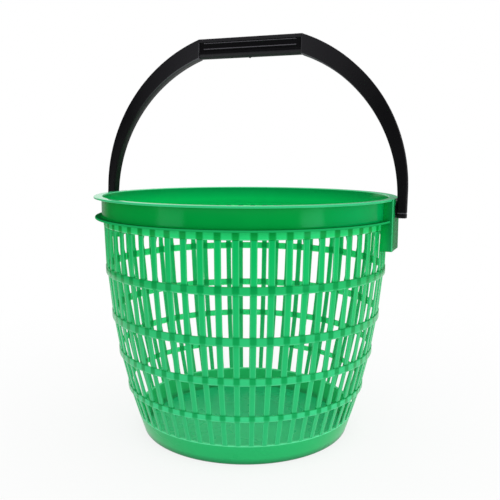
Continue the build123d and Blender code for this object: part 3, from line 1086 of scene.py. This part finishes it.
def table_paper():
    """Matt white paper. It looks white, and keeps a light shadow under the basket."""
    material = bpy.data.materials.new("Matt white paper")
    material.use_nodes = True
    tree = material.node_tree
    tree.nodes.clear()
    lit = add_node(tree, "ShaderNodeBsdfDiffuse", {"Color": linear(PAPER)})
    shaded = add_node(tree, "ShaderNodeBsdfDiffuse", {"Color": linear(SHADED_PAPER)})
    white = add_node(tree, "ShaderNodeEmission", {"Color": linear(WHITE), "Strength": 1.0})
    # The shadow fades out away from the basket, so that the far edge of the table does not show.
    place = add_node(tree, "ShaderNodeTexCoord").outputs["Object"]
    fade = add_node(tree, "ShaderNodeMapRange", {
        "Value": off_axis(tree, place, "LENGTH"), "From Min": 150 * MM, "From Max": 700 * MM,
        "To Min": 0.82})
    shown = add_node(tree, "ShaderNodeMixShader", {0: fade, 1: shaded, 2: white})
    seen, _ = seen_direct(tree)
    paper = add_node(tree, "ShaderNodeMixShader", {0: seen, 1: lit, 2: shown})
    add_node(tree, "ShaderNodeOutputMaterial", {"Surface": paper})
    return material


def ground_direction(azimuth):
    """Direction along the ground. Azimuth 0 points to the front, and it runs to the right."""
    return Vector((sin(azimuth), -cos(azimuth), 0))


def studio_world(studio):
    """White to the camera all round, with the room's light strongest from one side."""
    world = bpy.data.worlds.new("White studio")
    world.use_nodes = True
    tree = world.node_tree
    tree.nodes.clear()
    direction = add_node(tree, "ShaderNodeTexCoord").outputs["Generated"]

    def towards(azimuth):
        """How far a ray points this way along the ground."""
        return add_node(tree, "ShaderNodeVectorMath", {0: direction, 1: ground_direction(azimuth)},
                        operation="DOT_PRODUCT")

    room = add_node(tree, "ShaderNodeMapRange", {
        "Value": towards(studio.bright_side), "From Min": -1.0,
        "To Min": studio.room_dim, "To Max": studio.room_bright})
    # In reflections, the studio is white behind the basket above the table, and dim elsewhere.
    level = add_node(tree, "ShaderNodeSeparateXYZ", {"Vector": direction}).outputs["Z"]
    over_table = add_node(tree, "ShaderNodeMapRange", {
        "Value": level, "From Min": -0.05, "From Max": 0.0, "To Min": 0.3, "To Max": 0.9})
    # It gets dimmer towards the right, which keeps the right of the rim green.
    wall = add_node(tree, "ShaderNodeMapRange", {
        "Value": towards(studio.camera_heading + pi / 2), "From Min": -0.2, "From Max": 0.2,
        "To Min": over_table, "To Max": 0.2})
    backdrop = add_node(tree, "ShaderNodeMapRange", {
        "Value": towards(studio.camera_heading + pi), "From Min": 0.68, "From Max": 0.85,
        "To Min": 0.05, "To Max": wall})
    seen, camera = seen_direct(tree)
    shown = add_node(tree, "ShaderNodeMath", {0: backdrop, 1: camera}, operation="MAXIMUM")
    strength = add_node(tree, "ShaderNodeMix", {"Factor": seen, "A": room, "B": shown},
                        data_type="FLOAT")
    sky = add_node(tree, "ShaderNodeBackground", {"Color": linear(WHITE), "Strength": strength})
    add_node(tree, "ShaderNodeOutputWorld", {"Surface": sky})
    return world


def softbox(name, azimuth, distance, height, size, power, mirrored=True):
    """A soft lamp that stands round the basket, at an azimuth in degrees, and faces its middle."""
    lamp = bpy.data.lights.new(name, "AREA")
    lamp.shape = "RECTANGLE"
    lamp.size, lamp.size_y = size
    lamp.energy = power
    made = new_object(name, lamp)
    place = ground_direction(radians(azimuth)) * distance + Vector((0, 0, height))
    aim = Vector((0, 0, LAMP_AIM)) - place
    turn = aim.to_track_quat("-Z", "Y").to_matrix().to_4x4()
    made.matrix_world = Matrix.Translation(place) @ turn
    made.visible_camera = False
    made.visible_glossy = mirrored


def studio_camera(studio):
    """The camera, turned by its heading, pitch and roll."""
    camera = bpy.data.cameras.new("Camera")
    camera.sensor_width = 36
    camera.sensor_fit = "HORIZONTAL"
    camera.lens = studio.lens
    made = new_object("Camera", camera)
    made.matrix_world = (
        Matrix.Translation(studio.camera_place)
        @ Matrix.Rotation(studio.camera_heading, 4, "Z")
        @ Matrix.Rotation(pi / 2 - studio.camera_pitch, 4, "X")
        @ Matrix.Rotation(studio.camera_roll, 4, "Z"))
    return made


class BASKET_OT_studio(bpy.types.Operator):
    """Lays the white table top, hangs the lamps and sets the camera"""

    bl_idname = "basket.set_studio"
    bl_label = "Studio"

    def execute(self, context):
        scene = context.scene
        studio = scene.basket_studio
        bm = bmesh.new()
        bmesh.ops.create_circle(bm, cap_ends=True, segments=128, radius=studio.floor_radius)
        floor = new_object("table_top", mesh_from(bm, "table_top"))
        floor.data.materials.append(table_paper())
        scene.world = studio_world(studio)
        # The side lamps stand low, where the collar mirrors them and the handle does not.
        softbox("left_softbox", azimuth=-34, distance=1.5, height=0.08, size=(0.55, 0.4), power=1.2)
        softbox("right_softbox", azimuth=70, distance=1.5, height=0.08, size=(0.45, 0.4), power=1.7)
        softbox("side_softbox", azimuth=113, distance=1.5, height=0.08, size=(1.8, 0.4), power=0.5)
        softbox("side_fill", azimuth=100, distance=1.5, height=0.25, size=(0.8, 0.8), power=1.6,
                mirrored=False)
        softbox("top_softbox", azimuth=-150, distance=0.3, height=1.7, size=(1.4, 1.4), power=3.0)
        scene.camera = studio_camera(studio)
        scene.view_settings.view_transform = "Standard"
        return {"FINISHED"}


class BASKET_PT_panel(bpy.types.Panel):
    """Sizes, colours and steps of the basket"""

    bl_idname = "BASKET_PT_panel"
    bl_label = "Harvest Basket"
    bl_space_type = "VIEW_3D"
    bl_region_type = "UI"
    bl_category = "Basket"

    def draw(self, context):
        layout = self.layout
        for group in SETTINGS:
            box = layout.box()
            for name in SETTINGS[group].__annotations__:
                box.prop(getattr(context.scene, group), name)
        for step in STEPS:
            layout.operator(step.bl_idname)


SETTINGS = {
    "basket_sizes": BasketSizes,
    "handle_sizes": HandleSizes,
    "basket_colours": BasketColours,
    "basket_studio": StudioSettings,
}
STEPS = (
    BASKET_OT_rim,
    BASKET_OT_hoops,
    BASKET_OT_ribs,
    BASKET_OT_base,
    BASKET_OT_sockets,
    BASKET_OT_arms,
    BASKET_OT_grip,
    BASKET_OT_studs,
    BASKET_OT_studio,
)


def register():
    """Registers the settings, the steps and the panel."""
    for group, kind in SETTINGS.items():
        bpy.utils.register_class(kind)
        setattr(bpy.types.Scene, group, bpy.props.PointerProperty(type=kind))
    for kind in (*STEPS, BASKET_PT_panel):
        bpy.utils.register_class(kind)


def unregister():
    """Takes away what register adds."""
    for kind in (BASKET_PT_panel, *reversed(STEPS)):
        bpy.utils.unregister_class(kind)
    for group, kind in SETTINGS.items():
        delattr(bpy.types.Scene, group)
        bpy.utils.unregister_class(kind)


def main():
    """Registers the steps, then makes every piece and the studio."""
    register()
    bpy.ops.basket.add_rim()
    bpy.ops.basket.add_hoops()
    bpy.ops.basket.add_ribs()
    bpy.ops.basket.add_base()
    bpy.ops.basket.add_sockets()
    bpy.ops.basket.add_arms()
    bpy.ops.basket.add_grip()
    bpy.ops.basket.finish_studs()
    bpy.ops.basket.set_studio()


if __name__ == "__main__":
    main()
